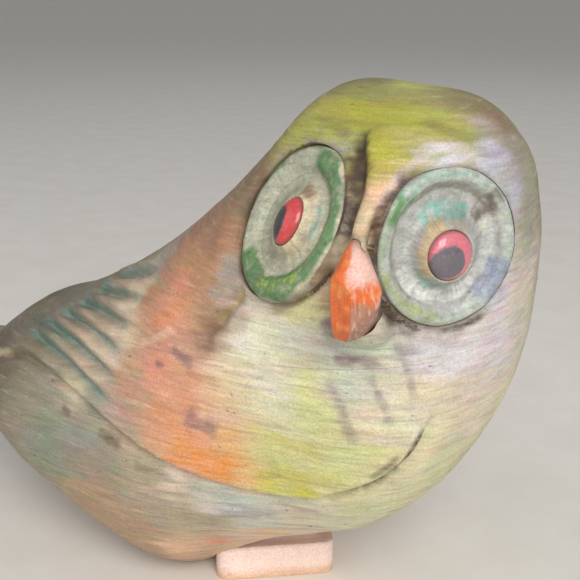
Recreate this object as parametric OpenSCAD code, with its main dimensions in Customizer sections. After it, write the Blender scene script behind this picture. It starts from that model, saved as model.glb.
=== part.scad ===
// Carved and painted wooden owl, lying like a bird with its head turned to look over its right side.
// Two blocks are glued on dowels, with a let-in foot and beak, inset eye discs and domed eye beads.
// Frame: origin at the centre of the foot's underside, +X towards the breast, -X towards the tail,
// -Y the side that the face looks to, +Z up. Millimetres.

/* [Body] */
// Height of the crown above the table
crown_h = 108.5; // [108:0.5:109.5]
// Largest half width of the body and head
half_w = 33; // [32:0.5:34]
// Height of the glue line under the face, between the body block and the head block
seam_z = 62.5; // [61.5:0.5:63.5]
// Rise of the glue line towards the breast, in degrees
seam_tilt = 7; // [6:0.5:8]
// Rings along the body
rings = 64; // [48:4:72]
// Points around each ring
ring_points = 64; // [48:4:72]

/* [Eyes] */
// Place of the middle of the face along the body
face_x = 32.75; // [32.25:0.25:33.25]
// Place of the middle of the face across the body
face_y = -25.5; // [-26:0.25:-25]
// Height of the middle of the face
face_z = 85.75; // [85:0.25:86.5]
// Distance between the centres of the eye discs
eye_spacing = 27.5; // [27:0.25:28]
// Turn of the line through the eyes, in degrees
face_yaw = 8.5; // [7.5:0.5:9.5]
// How much lower the left eye sits than the right one
eye_drop = 2.5; // [2:0.25:3]
// Turn of the right eye disc from straight sideways, in degrees
right_yaw = -29; // [-30:0.5:-28]
// Upward tilt of the right eye disc, in degrees
right_tilt = 28; // [27:0.5:29]
// Turn of the left eye disc from straight sideways, in degrees
left_yaw = 52; // [51:0.5:53]
// Upward tilt of the left eye disc, in degrees
left_tilt = 2; // [1:0.5:3]
// Radius of an eye disc
disc_r = 13.5; // [13.3:0.1:13.7]
// Thickness of an eye disc
disc_t = 4.2; // [4:0.1:4.4]
// Radius of an eye bead
bead_r = 5.1; // [4.9:0.1:5.3]
// Depth of the recess that holds an eye bead
recess_t = 1.5; // [1.3:0.1:1.7]
// How far the raised collar around a bead stands out of the face of the disc
collar_rise = 1.6; // [1.4:0.1:1.8]
// How far an eye bead stands out of the face of the disc
bead_rise = 3.2; // [3:0.1:3.4]

/* [Beak] */
// Place of the tip of the beak along the body
beak_x = 36; // [35.5:0.25:36.5]
// Height of the tip of the beak
beak_z = 73; // [72:0.5:74]
// Length of the beak from the bridge down to the tip
beak_len = 14; // [13:0.5:15]
// Width of the beak at its middle
beak_w = 8; // [7.5:0.25:8.5]
// Reach of the tip across the body
beak_reach = 42; // [41:0.5:43]

/* [Foot] */
// Length of the foot
foot_len = 26; // [25:0.5:27]
// Width of the foot
foot_w = 19.5; // [19:0.5:21]
// Height of the upright sides of the foot
foot_h = 8; // [7:0.5:8.5]
// Turn of the foot from the line of the body, in degrees
foot_turn = 35; // [30:1:40]
// How far the foot's collar goes on up into the belly
foot_collar = 8; // [7:0.5:9]

/* [Joinery] */
// Radius of the two dowels across the glue line
neck_dowel_r = 4; // [3.5:0.25:4.5]
// Length of the two dowels across the glue line
neck_dowel_len = 28; // [26:1:30]
// Radius of the two dowels in the foot
foot_dowel_r = 2.5; // [2:0.25:2.75]
// Length of the two dowels in the foot
foot_dowel_len = 18; // [16:1:20]
// Gap that the glue fills between two pieces
glue = 0.05; // [0.04:0.01:0.08]

/* [Hidden] */
$fn = 48;

// Stations of the carved form from the tail tip to the breast: [x, height of the belly, height of the
// back, half width, height of the widest point as a share, lean of the upper half to -Y, and the power
// that squares the section, where 1 leaves an ellipse]
h = crown_h;
w = half_w;
STATIONS = [
    [-119, 31, 34, 6, 0.5, 0, 1],
    [-117, 30, 35.5, 12, 0.5, 0, 1],
    [-100, 29, 37, 14.5, 0.5, 0, 1],
    [-86, 28, 38.5, 17.5, 0.5, 0, 1],
    [-74, 26, 42.5, 21, 0.5, 0, 1],
    [-60, 19, 54, 25.5, 0.5, 0, 1],
    [-48, 11, 58.5, w - 4, 0.48, 0, 1],
    [-30, 2, 67.5, w - 1.5, 0.45, 0, 1],
    [-14, -2, 79, w, 0.45, 0, 1],
    [4, 9, h - 13, w, 0.45, 0, 0.95],
    [16.5, 14.3, h - 1.1, w, 0.5, 0, 0.9],
    [30, 21, h - 0.6, w, 0.5, 1, 0.88],
    [42, 32.5, h - 2.1, w - 4, 0.52, 4, 0.85],
    [49.5, 46.5, h - 7.7, w - 12.5, 0.54, 5, 0.85],
    [53, 60, h - 14.5, w - 21, 0.5, 5, 0.9],
    [54, 77, 77, 0, 0.5, 5, 1],
];
LAST = len(STATIONS) - 1;

seam_x = 20;
neck_dowel_x = [10, -14];
foot_dowel_x = [6, -6];
foot_dowel_z = 4;
foot_corner = 2.5;
collar_inset = 3;
disc_edge = 1;
disc_dish = 0.5;
disc_back = 1.5;
dish_r = 7;
collar_base_r = 6.7;
collar_top_r = 5.6;
peg_r = 1.25;
peg_len = 1.4;
socket_reach = 12;
big = 200;

// Value of one column between stations i and i + 1, on a smooth curve through all of them
function column(i, t, c) =
    let(a = STATIONS[max(i - 1, 0)][c], b = STATIONS[i][c],
        d = STATIONS[i + 1][c], e = STATIONS[min(i + 2, LAST)][c])
    b + 0.5 * t * (d - a + t * (2 * a - 5 * b + 4 * d - e + t * (3 * (b - d) + e - a)));

function station(u) = let(i = min(floor(u), LAST - 1)) [for (c = [0:6]) column(i, u - i, c)];

function squared(v, p) = sign(v) * pow(abs(v), p);

// Points around one section, from the +Y side over the back to the -Y side and back under the belly
function ring(s) =
    let(widest = s[1] + s[4] * (s[2] - s[1]))
    [for (k = [0:ring_points - 1])
        let(a = 360 * k / ring_points, reach = sin(a) > 0 ? s[2] - widest : widest - s[1],
            across = squared(cos(a), s[6]), up = squared(sin(a), s[6]))
        [s[0], s[3] * across - s[5] * max(0, up), widest + reach * up]];

// Closed skin through the rings, with a point at each end
module carved_form() {
    n = ring_points;
    us = [for (i = [1:rings - 1]) LAST * i / rings];
    tail = station(0);
    breast = station(LAST);
    points = concat([for (u = us) each ring(station(u))],
                    [[tail[0], 0, (tail[1] + tail[2]) / 2], [breast[0], -breast[5] / 2, breast[1]]]);
    side = [for (i = [0:len(us) - 2], k = [0:n - 1])
        let(a = i * n + k, b = i * n + (k + 1) % n) each [[a, a + n, b + n], [a, b + n, b]]];
    first_cap = [for (k = [0:n - 1]) [len(us) * n, k, (k + 1) % n]];
    last_cap = [for (k = [0:n - 1])
        let(base = (len(us) - 1) * n) [len(us) * n + 1, base + (k + 1) % n, base + k]];
    polyhedron(points, concat(side, first_cap, last_cap), convexity = 6);
}

// Local frame of the glue line: origin on it in the middle, +Z square to it
module at_seam() {
    translate([seam_x, 0, seam_z])
        rotate([0, -seam_tilt, 0])
            children();
}

// Everything above the glue line, moved up by a gap
module above_seam(gap) {
    at_seam()
        translate([-big / 2, -big / 2, gap])
            cube(big);
}

// Ridge that runs from the crown down between the eyes to the beak
module nose_ridge() {
    $fn = 32;
    hull() {
        translate([face_x + 1, -23, face_z + 15]) sphere(4);
        translate([face_x + 2, -31, face_z + 3]) sphere(4.5);
        translate([face_x + 3, -31, face_z - 12]) sphere(5);
        translate([face_x, -22, face_z - 8]) sphere(8);
    }
}

// Local frame of an eye: origin at the middle of the disc's face, +Z out of the face, +Y up
module at_eye(side, yaw, tilt) {
    translate([face_x, face_y, face_z])
        rotate([0, 0, face_yaw])
            translate([side * eye_spacing / 2, 0, -side * eye_drop / 2])
                rotate([0, 0, yaw - face_yaw])
                    rotate([90 - tilt, 0, 0])
                        children();
}

module at_right_eye() {
    at_eye(-1, right_yaw, right_tilt) children();
}

module at_left_eye() {
    at_eye(1, left_yaw, left_tilt) children();
}

// Hollow for an eye disc, open outwards
module disc_socket() {
    r = disc_r + glue;
    floor_z = -disc_t - glue;
    rotate_extrude($fn = 96)
        polygon([[0, floor_z], [r - disc_back, floor_z], [r, floor_z + disc_back], [r, socket_reach],
                 [0, socket_reach]]);
}

// Disc with a rounded rim, a shallow dish and a raised collar around the recess for the bead
module eye_disc() {
    recess_r = bead_r + glue;
    rotate_extrude($fn = 96)
        polygon([[peg_r, -disc_t], [disc_r - disc_back, -disc_t], [disc_r, -disc_t + disc_back],
                 [disc_r, -disc_edge], [disc_r - 0.3 * disc_edge, -0.3 * disc_edge], [disc_r - disc_edge, 0],
                 [dish_r, -disc_dish], [collar_base_r, -disc_dish], [collar_top_r, collar_rise],
                 [recess_r, collar_rise], [recess_r, -recess_t], [peg_r, -recess_t]]);
}

// Domed bead with a peg
module eye_bead() {
    base_z = glue - recess_t;
    dome_h = bead_rise - collar_rise;
    dome_r = (bead_r * bead_r + dome_h * dome_h) / (2 * dome_h);
    intersection() {
        translate([0, 0, base_z])
            cylinder(r = bead_r, h = 2 * bead_r);
        translate([0, 0, bead_rise - dome_r])
            sphere(dome_r, $fn = 96);
    }
    translate([0, 0, -recess_t - peg_len])
        cylinder(r = peg_r - glue, h = peg_len + bead_rise);
}

// Wedge of the beak, grown by a gap on every side to cut its housing
module beak_form(grow = 0) {
    $fn = 32;
    side = beak_w / 2;
    hull() {
        translate([beak_x + 1, 6.5 - beak_reach, beak_z + beak_len - 1]) sphere(1.5 + grow);
        translate([beak_x + 0.5, side - beak_reach, beak_z + beak_len / 2]) sphere(side + grow);
        translate([beak_x - 0.5, 2 - beak_reach, beak_z + 2]) sphere(2 + grow);
        translate([beak_x, 9 - beak_reach, beak_z + 2.5]) sphere(2.5 + grow);
    }
}

// Rounded rectangle centred on the origin
module rounded(length, width, corner) {
    square([length - 2 * corner, width], center = true);
    square([length, width - 2 * corner], center = true);
    for (x = [-1, 1], y = [-1, 1])
        translate([x * (length / 2 - corner), y * (width / 2 - corner)])
            circle(corner);
}

// Upright foot with a narrower collar that goes up into the belly
module foot_form(grow = 0) {
    inset = 2 * (collar_inset - grow);
    rotate([0, 0, foot_turn]) {
        linear_extrude(foot_h + grow)
            rounded(foot_len + 2 * grow, foot_w + 2 * grow, foot_corner);
        linear_extrude(foot_h + foot_collar + grow)
            rounded(foot_len - inset, foot_w - inset, foot_corner);
    }
}

module neck_dowel(x, grow = 0) {
    at_seam()
        translate([x, 0, 0])
            cylinder(r = neck_dowel_r + grow, h = neck_dowel_len + 2 * grow, center = true);
}

module foot_dowel(x, grow = 0) {
    rotate([0, 0, foot_turn])
        translate([x, 0, foot_dowel_z - grow])
            cylinder(r = foot_dowel_r + grow, h = foot_dowel_len + 2 * grow);
}

module body_block() {
    color("darkkhaki") difference() {
        carved_form();
        above_seam(-glue / 2);
        translate([-big / 2, -big / 2, -big])
            cube(big);
        foot_form(glue);
        for (x = neck_dowel_x) neck_dowel(x, glue);
        for (x = foot_dowel_x) foot_dowel(x, glue);
    }
}

module head_block() {
    color("khaki") difference() {
        intersection() {
            union() {
                carved_form();
                nose_ridge();
            }
            above_seam(glue / 2);
        }
        at_right_eye() disc_socket();
        at_left_eye() disc_socket();
        beak_form(glue);
        for (x = neck_dowel_x) neck_dowel(x, glue);
    }
}

module neck_dowel_front() {
    color("burlywood") neck_dowel(neck_dowel_x[0]);
}

module neck_dowel_rear() {
    color("burlywood") neck_dowel(neck_dowel_x[1]);
}

module foot_block() {
    color("mistyrose") difference() {
        foot_form();
        for (x = foot_dowel_x) foot_dowel(x, glue);
    }
}

module foot_dowel_front() {
    color("burlywood") foot_dowel(foot_dowel_x[0]);
}

module foot_dowel_rear() {
    color("burlywood") foot_dowel(foot_dowel_x[1]);
}

module right_eye_disc() {
    color("darkseagreen") at_right_eye() eye_disc();
}

module left_eye_disc() {
    color("lightgrey") at_left_eye() eye_disc();
}

module right_eye_bead() {
    color("crimson") at_right_eye() eye_bead();
}

module left_eye_bead() {
    color("crimson") at_left_eye() eye_bead();
}

module beak() {
    color("darkorange") beak_form();
}

body_block();
head_block();
neck_dowel_front();
neck_dowel_rear();
foot_block();
foot_dowel_front();
foot_dowel_rear();
right_eye_disc();
left_eye_disc();
right_eye_bead();
left_eye_bead();
beak();
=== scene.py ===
"""Looks of the carved and painted wooden owl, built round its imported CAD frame."""

import math

import bmesh
import bpy
import numpy as np
from mathutils import Matrix, Vector
from mathutils.bvhtree import BVHTree


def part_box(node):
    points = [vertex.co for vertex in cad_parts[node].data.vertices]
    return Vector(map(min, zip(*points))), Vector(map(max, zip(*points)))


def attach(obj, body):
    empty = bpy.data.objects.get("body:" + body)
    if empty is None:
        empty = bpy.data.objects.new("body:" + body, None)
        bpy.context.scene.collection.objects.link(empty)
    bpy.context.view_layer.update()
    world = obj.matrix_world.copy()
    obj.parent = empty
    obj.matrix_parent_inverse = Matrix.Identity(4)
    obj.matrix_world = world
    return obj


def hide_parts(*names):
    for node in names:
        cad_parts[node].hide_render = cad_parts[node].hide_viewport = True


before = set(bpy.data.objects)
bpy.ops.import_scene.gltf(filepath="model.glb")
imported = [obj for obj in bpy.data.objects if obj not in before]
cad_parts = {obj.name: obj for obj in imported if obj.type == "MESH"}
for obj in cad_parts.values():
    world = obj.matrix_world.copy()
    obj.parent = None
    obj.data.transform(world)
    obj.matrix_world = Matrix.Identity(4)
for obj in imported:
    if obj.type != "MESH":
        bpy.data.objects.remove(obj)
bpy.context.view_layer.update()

# Places below are in millimetres in the row frame: +X to the breast, -Y the side that the face looks to.
MM = 0.001
VOXEL = 0.6 * MM
GLUE = 0.05 * MM
SMOOTHING_PASSES = 22
SANDING_PASSES = 160
SANDED = [((35, -26, 103), 9), ((38, -28, 99), 6)]
SANDING_SHARE = 0.6
FAR_AWAY = 0.4

# Gouge work in millimetres: the step at the wing's edge, the feather lines, the tail lines and the glue line
STEP_RISE, STEP_LIP, STEP_FALL = 1.3, 0.7, 9
FEATHER_WIDTH, FEATHER_DEPTH = 1.1, 1.7
TAIL_WIDTH, TAIL_DEPTH = 1.2, 0.8
SEAM_WIDTH, SEAM_DEPTH = 0.5, 0.16
FACET_DEPTH, RIPPLE_DEPTH = 0.22, 0.07


def smoothstep(low, high, x):
    """Goes smoothly from 0 at low to 1 at high, which may be the smaller of the two."""
    t = np.clip((x - low) / (high - low), 0, 1)
    return t * t * (3 - 2 * t)


# Paints, as sRGB
SMOKE = (108, 102, 88)
UMBER = (92, 78, 62)
DARK_BROWN = (74, 56, 46)
TAUPE = (128, 118, 100)
SAGE = (136, 140, 124)
MUSHROOM = (166, 148, 128)
OATMEAL = (212, 190, 164)
STRAW = (220, 216, 176)
OCHRE = (200, 172, 96)
MAUVE = (170, 156, 154)
SHELL = (208, 190, 190)
STONE = (152, 146, 126)
DRIFTWOOD = (172, 158, 136)
SAND = (184, 152, 118)
CLAY = (190, 142, 106)
RUST = (166, 122, 94)
BROWN = (138, 112, 88)
SALMON = (220, 154, 122)
ORANGE = (230, 148, 66)
APRICOT = (226, 178, 118)
PEACH = (230, 192, 158)
IVORY = (226, 222, 202)
CREAM = (226, 212, 172)
BUTTER = (212, 206, 142)
PISTACHIO = (206, 208, 150)
LIME = (200, 194, 78)
CITRINE = (172, 168, 62)
MOSS = (170, 168, 82)
OLIVE = (128, 120, 66)
LINEN = (214, 204, 184)
PEARL = (218, 212, 216)
LILAC = (188, 184, 198)
ASH = (160, 153, 138)
FOG = (200, 197, 184)
ICE = (192, 202, 196)
TEAL = (116, 156, 150)
PLUM = (128, 104, 110)
GREY_PLUM = (140, 126, 126)

# Patches of paint on the form, by the side they are seen from: two coordinates there, size and paint.
# "sides" puts a patch on both flanks. near, far and sides give x and z; top and under x and y; front y and z.
PATCHES = {
    "sides": [
        (-112, 33, 14, TAUPE), (-95, 34, 14, SMOKE), (-78, 37, 12, TAUPE), (-62, 44, 8, UMBER),
        (-50, 54, 7, SMOKE), (-38, 60, 7, TAUPE), (-28, 62, 6, MUSHROOM), (-20, 64, 5, OATMEAL),
        (-45, 49, 6, TAUPE), (-35, 54, 6, MUSHROOM), (-27, 57, 6, OATMEAL), (-20, 58, 5, OATMEAL),
        (-38, 46, 5, STONE), (-30, 48, 5, OATMEAL), (-24, 45, 5, STONE), (-17, 46, 5, DRIFTWOOD),
        (-14, 52, 5, SAND), (-6, 55, 6, SALMON), (0, 52, 7, SALMON), (6, 53, 5, PEACH), (-5, 46, 6, SALMON),
        (2, 46, 6, SALMON), (9, 46, 5, APRICOT), (-8, 42, 4, SALMON), (-1, 41, 4, ORANGE),
        (4, 40, 4, ORANGE), (9, 39, 4, ORANGE), (14, 38, 4, APRICOT), (12, 60, 5, CREAM),
        (12, 54, 5, CREAM), (19, 58, 6, IVORY), (27, 56, 6, PISTACHIO), (18, 50, 6, CREAM),
        (26, 50, 6, BUTTER), (17, 44, 6, BUTTER), (25, 44, 6, BUTTER), (32, 47, 5, PISTACHIO),
        (30, 42, 5, BUTTER), (17, 38, 3.5, LIME), (23, 38, 3.5, LIME), (36, 47, 5, PISTACHIO),
        (38, 54, 5, LINEN), (33, 62, 5, FOG), (41, 60, 5, LINEN), (44, 54, 5, LINEN), (40, 43, 5, STRAW),
        (36, 36, 6, STRAW), (-37, 31, 8, SAGE), (-28, 33, 7, STONE), (-20, 33, 6, STONE),
        (-10, 35, 6, DRIFTWOOD), (-2, 35, 6, LINEN), (4, 31, 6, FOG), (9, 30, 6, ICE), (16, 31, 6, FOG),
        (24, 32, 6, LINEN), (31, 34, 5, PISTACHIO), (-28, 20, 8, SAND), (-18, 20, 8, SAND),
        (-9, 23, 7, DRIFTWOOD), (0, 24, 7, DRIFTWOOD), (10, 25, 7, FOG), (18, 25, 7, LINEN),
        (27, 27, 6, STRAW), (-18, 10, 8, SAND), (-8, 14, 6, PEACH), (1, 16, 4, SALMON), (10, 19, 6, PEACH),
    ],
    "near": [
        (14, 66, 5, IVORY), (22, 68, 5, FOG), (29, 67, 5, FOG), (24, 73, 4, BUTTER), (30, 73, 4, SAND),
        (14, 72, 3, LINEN), (41, 70, 3, MAUVE), (44, 66, 5, PEARL), (-2, 88, 8, BROWN), (-8, 80, 7, RUST),
        (3, 80, 6, RUST), (-16, 73, 7, ASH), (-8, 74, 6, CLAY), (0, 74, 6, CLAY), (8, 76, 4, ASH),
        (-5, 68, 6, SALMON), (4, 66, 4, RUST), (-14, 66, 5, CLAY), (8, 88, 6, BROWN), (8, 98, 7, OLIVE),
        (16, 102, 5, MOSS), (24, 104, 5, CITRINE), (34, 104, 6, CITRINE), (42, 103, 6, MOSS),
        (25, 100, 3, ASH), (19, 97, 3, ASH), (35, 99, 4, CITRINE), (38, 92, 3, PEACH), (44, 99, 3, PEARL),
    ],
    "front": [
        (-14, 99, 4, LILAC), (-5, 98, 5, ASH), (0, 92, 6, ASH), (-11, 91, 4, LILAC), (-3, 84, 6, ASH),
        (-13, 80, 4, LILAC), (-2, 75, 7, LINEN), (-12, 73, 4, PEARL), (-11, 65, 5, PEARL),
        (0, 61, 8, LINEN), (-20, 64, 4, PEARL), (-10, 52, 6, LINEN), (0, 48, 8, STRAW), (12, 90, 8, OLIVE),
        (12, 72, 8, DRIFTWOOD), (10, 54, 8, DRIFTWOOD), (0, 40, 8, PISTACHIO),
    ],
    # Seen from above, the crown and back are darker than the flanks: partly their own paint, partly painted
    # shade on the top.
    "top": [
        (20, 0, 8, OLIVE), (30, 0, 7, MOSS), (40, 2, 7, OLIVE), (43, -8, 4, OLIVE), (47, -3, 5, BROWN),
        (8, 0, 8, OLIVE), (-4, 0, 7, BROWN), (-16, 0, 8, BROWN), (-30, 0, 8, SMOKE), (-45, 0, 8, SMOKE),
        (-62, 0, 9, UMBER), (-82, 0, 10, SMOKE), (-106, 0, 12, SMOKE),
    ],
    "far": [
        (10, 96, 8, OLIVE), (26, 98, 8, MOSS), (40, 94, 8, OLIVE), (-4, 84, 8, BROWN), (12, 82, 8, BROWN),
        (26, 82, 9, ASH), (40, 78, 9, ASH), (-8, 70, 8, CLAY), (8, 70, 8, RUST), (24, 68, 8, DRIFTWOOD),
        (40, 66, 8, LINEN),
    ],
    "under": [
        (10, 0, 12, PEACH), (-40, 0, 12, SAND), (-90, 0, 16, DRIFTWOOD), (30, 0, 8, FOG),
    ],
}

# Lines of the carving as seen from the face's side, in x and z. They are on both flanks.
BOWL_MIDDLE, BOWL_LENGTH, BOWL_DEPTH = (16, 57), 29, 22
TAIL_TIP = [(-66, 50), (-57, 47)]
RISE_LENGTH, RISE_HEIGHT = 64, 14
FEATHER_ROWS = 6


def bowl(first, last, out=0):
    """Points on or outside the bowl at the front of the wing's edge, between two angles from its bottom."""
    x, z = BOWL_MIDDLE
    turns = np.radians(np.linspace(first, last, 7))
    return [(x + (BOWL_LENGTH + out) * math.sin(a), z - (BOWL_DEPTH + out) * math.cos(a)) for a in turns]


def wing_edge():
    """Lower edge of a wing: its tip at the tail, a slow fall towards the breast and the bowl."""
    x, z = BOWL_MIDDLE[0], BOWL_MIDDLE[1] - BOWL_DEPTH
    fall = [(x - RISE_LENGTH * t, z + RISE_HEIGHT * smoothstep(0, 1, t)) for t in np.linspace(1, 0.1, 8)]
    return TAIL_TIP + fall + bowl(0, 90)


def feather(row):
    """A feather line of the wing: the rows start 2 mm apart at the tail and fan out to 5 mm."""
    start, end = (-52 + 3 * row, 52.5 + 2 * row), (-16, 45.5 + 5 * row)
    middle = ((start[0] + end[0]) / 2, (start[1] + end[1]) / 2 + 1.5 * (1 - row / FEATHER_ROWS))
    return [start, middle, end]


WING_EDGE = wing_edge()
FEATHERS = [feather(row) for row in range(FEATHER_ROWS)]

# Brush strokes: side, x and z points, half width, strength and paint
STROKES = [
    ("near", [(29, 63), (32, 56), (34, 48)], 1.0, 0.65, GREY_PLUM),
    ("near", [(36, 64), (38, 59), (40, 53)], 0.9, 0.7, GREY_PLUM),
    ("near", [(40, 71), (42, 64), (43, 58)], 0.9, 0.65, GREY_PLUM),
    ("near", [(30, 66), (39, 66)], 1.2, 0.9, PLUM),
    ("near", [(29, 73), (31, 69)], 1.4, 1.0, PLUM),
    ("near", [(-4, 61), (2, 58)], 1.3, 0.9, PLUM),
    ("sides", [(0, 49), (8, 46)], 2.0, 0.8, PLUM),
    ("near", [(-8, 57), (-5, 57)], 0.9, 0.8, PLUM),
    ("near", [(-14, 58), (-4, 64)], 0.8, 0.75, PEACH),
    ("sides", [(-6, 40), (12, 37)], 1.0, 0.9, ORANGE),
    ("sides", [(13, 37), (20, 36), (27, 38)], 1.2, 0.9, LIME),
    # Dark marks along the head's top and back edges, here and two lines down: partly dark paint, partly
    # painted shade.
    ("near", [(20, 103), (28, 101)], 1.2, 0.5, UMBER),
    ("near", [(10, 92), (16, 100)], 1.4, 0.5, ASH),
    ("near", [(6, 84), (10, 94)], 1.2, 0.5, UMBER),
    ("sides", [(-22, 40), (-15, 38)], 1.4, 0.85, UMBER),
    ("sides", [(-33, 42), (-30, 41)], 1.0, 0.7, UMBER),
    ("sides", [(-13, 36), (-3, 34)], 1.2, 0.45, UMBER),
    ("sides", [(4, 26), (16, 28)], 1.6, 0.4, TAUPE),
    # Brown along the crown's top edge: partly dark paint, partly painted shade.
    ("near", [(34, 106), (43, 106)], 1.1, 0.5, BROWN),
    ("near", [(38, 104), (48, 101)], 1.2, 0.6, OLIVE),
    ("near", [(39, 99), (45, 100), (51, 96)], 1.5, 0.7, PEARL),
    ("near", [(22, 105), (32, 103), (36, 97)], 2.6, 0.5, CITRINE),
    ("near", [(12, 98), (24, 105)], 2.0, 0.5, MOSS),
    ("sides", [(-8, 50), (4, 43)], 1.6, 0.4, ORANGE),
    ("sides", [(-12, 62), (-1, 70)], 1.8, 0.4, ORANGE),
    # At the wing tips: a cream line that is a painted highlight along the tip's edge, and under it an umber
    # band that is painted shadow.
    ("sides", [(-68, 45), (-51, 48)], 0.9, 0.7, CREAM),
    ("sides", [(-66, 43), (-46, 45)], 1.5, 0.5, UMBER),
    ("sides", [(-34, 37), (-20, 37)], 2.2, 0.4, TEAL),
    ("sides", [(-2, 33), (10, 32)], 1.8, 0.35, TEAL),
    ("sides", [(14, 57), (28, 53)], 0.8, 0.6, BUTTER),
    ("sides", [(12, 50), (30, 46)], 1.0, 0.6, LIME),
    ("sides", [(16, 42), (24, 41), (33, 42)], 1.4, 0.55, LIME),
    ("sides", bowl(20, 84, 1.9), 1.1, 0.7, CREAM),
    # Dark brown in the cut at the wing's front edge: partly dark paint, partly painted shade.
    ("sides", bowl(28, 50, -0.2), 0.9, 1.1, DARK_BROWN),
    ("sides", bowl(48, 82, -0.3), 0.8, 1.2, DARK_BROWN),
    ("sides", bowl(44, 66, -1.3), 0.7, 0.8, DARK_BROWN),
]


def linear(colour):
    """An sRGB paint as the linear values that shaders take."""
    c = np.asarray(colour, float) / 255
    return np.where(c <= 0.04045, c / 12.92, ((c + 0.055) / 1.055) ** 2.4)


def noise(points, size, seed):
    """Smooth noise from -1 to 1 at each point, with hills about size across; a seed always gives the same."""
    n = 32
    grid = np.random.default_rng(seed).uniform(-1, 1, (n, n, n))
    p = np.asarray(points) / size + 7.3 * seed
    cell = np.floor(p).astype(int)
    t = p - cell
    t = t * t * (3 - 2 * t)
    total = np.zeros(len(p))
    for corner in np.ndindex(2, 2, 2):
        weight = np.prod(np.where(corner, t, 1 - t), axis=1)
        i, j, k = ((cell + corner) % n).T
        total += weight * grid[i, j, k]
    return total


def rough_noise(points, size, seed, octaves=3):
    """Noise with finer and weaker noise on top."""
    return sum(noise(points, size / 2**k, seed + k) / 2**k for k in range(octaves))


# ---- Meshes


def new_object(name, mesh):
    ob = bpy.data.objects.new(name, mesh)
    bpy.context.scene.collection.objects.link(ob)
    return ob


def remove(ob):
    bpy.data.objects.remove(ob, do_unlink=True)


def node_bmesh(name, shift=(0, 0, 0)):
    """A CAD node's mesh as a bmesh of its own, with its split corners welded."""
    bm = bmesh.new()
    bm.from_mesh(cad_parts[name].data)
    bmesh.ops.remove_doubles(bm, verts=bm.verts, dist=1e-7)
    bmesh.ops.translate(bm, verts=bm.verts, vec=Vector(shift))
    return bm


def from_bmesh(name, bm):
    """An object made from a bmesh, which is used up."""
    mesh = bpy.data.meshes.new(name)
    bm.to_mesh(mesh)
    bm.free()
    return new_object(name, mesh)


def node_copy(name, shift=(0, 0, 0), label=None):
    ob = from_bmesh(label or name + "_copy", node_bmesh(name, shift))
    strip(ob.data)
    return ob


def strip(mesh):
    """Takes colours and stored normals off a mesh, so that only its shape is left."""
    for name in [a.name for a in mesh.attributes if not a.is_required and not a.name.startswith(".")]:
        mesh.attributes.remove(mesh.attributes[name])


def keep_largest(mesh):
    """Drops the crumbs that a cut leaves, and keeps the one large solid."""
    bm = bmesh.new()
    bm.from_mesh(mesh)
    left, best = set(bm.verts), []
    while left:
        front = [left.pop()]
        island = list(front)
        while front:
            vert = front.pop()
            for edge in vert.link_edges:
                other = edge.other_vert(vert)
                if other in left:
                    left.remove(other)
                    front.append(other)
                    island.append(other)
        best = max(best, island, key=len)
    kept = set(best)
    bmesh.ops.delete(bm, geom=[v for v in bm.verts if v not in kept], context="VERTS")
    bm.to_mesh(mesh)
    bm.free()


def joined(name, obs):
    """One object from several, which are used up."""
    bm = bmesh.new()
    for ob in obs:
        bm.from_mesh(ob.data)
        remove(ob)
    return from_bmesh(name, bm)


def apply_modifiers(ob):
    depsgraph = bpy.context.evaluated_depsgraph_get()
    mesh = bpy.data.meshes.new_from_object(ob.evaluated_get(depsgraph))
    ob.modifiers.clear()
    old = ob.data
    ob.data = mesh
    bpy.data.meshes.remove(old)
    mesh.name = ob.name


def remesh(ob, voxel):
    mod = ob.modifiers.new("even", "REMESH")
    mod.mode = "VOXEL"
    mod.voxel_size = voxel
    apply_modifiers(ob)


def boolean(ob, cutter, operation="DIFFERENCE"):
    """Cuts ob with another object, which is used up."""
    mod = ob.modifiers.new("cut", "BOOLEAN")
    mod.operation = operation
    mod.solver = "MANIFOLD"
    mod.object = cutter
    apply_modifiers(ob)
    remove(cutter)


def coordinates(mesh):
    co = np.empty(len(mesh.vertices) * 3)
    mesh.vertices.foreach_get("co", co)
    return co.reshape(-1, 3)


def set_coordinates(mesh, co):
    mesh.vertices.foreach_set("co", co.ravel())
    mesh.update()


def normals(mesh):
    no = np.empty(len(mesh.vertices) * 3)
    mesh.vertex_normals.foreach_get("vector", no)
    return no.reshape(-1, 3)


def smooth(mesh, passes, share, swell=-0.5):
    """Laplacian smoothing by a share from 0 to 1 at each vertex; every other pass swells the form back."""
    edges = np.empty(len(mesh.edges) * 2, int)
    mesh.edges.foreach_get("vertices", edges)
    edges = edges.reshape(-1, 2)
    a, b = edges[(share[edges] > 1e-3).any(1)].T
    co = coordinates(mesh)
    count = np.maximum(np.bincount(a, minlength=len(co)) + np.bincount(b, minlength=len(co)), 1)
    share = np.where(share > 1e-3, share, 0)
    for k in range(passes):
        step = 0.6 if k % 2 == 0 else swell
        mean = np.stack([
            np.bincount(a, co[b, i], len(co)) + np.bincount(b, co[a, i], len(co)) for i in range(3)
        ], 1) / count[:, None]
        co = co + step * share[:, None] * (mean - co)
    set_coordinates(mesh, co)


def lathe(name, profile, segments):
    """A closed ring turned from a closed outline of (radius, height) points, round the local Z axis."""
    n, m = len(profile), segments
    outline = np.array(profile)
    angle = np.arange(m) * 2 * math.pi / m
    co = np.stack([
        outline[:, None, 0] * np.cos(angle), outline[:, None, 0] * np.sin(angle),
        np.broadcast_to(outline[:, None, 1], (n, m)),
    ], 2).reshape(-1, 3)
    faces = [
        (i * m + k, i * m + (k + 1) % m, (i + 1) % n * m + (k + 1) % m, (i + 1) % n * m + k)
        for i in range(n) for k in range(m)
    ]
    mesh = bpy.data.meshes.new(name)
    mesh.from_pydata(co, [], faces)
    mesh.update()
    return new_object(name, mesh)


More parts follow.
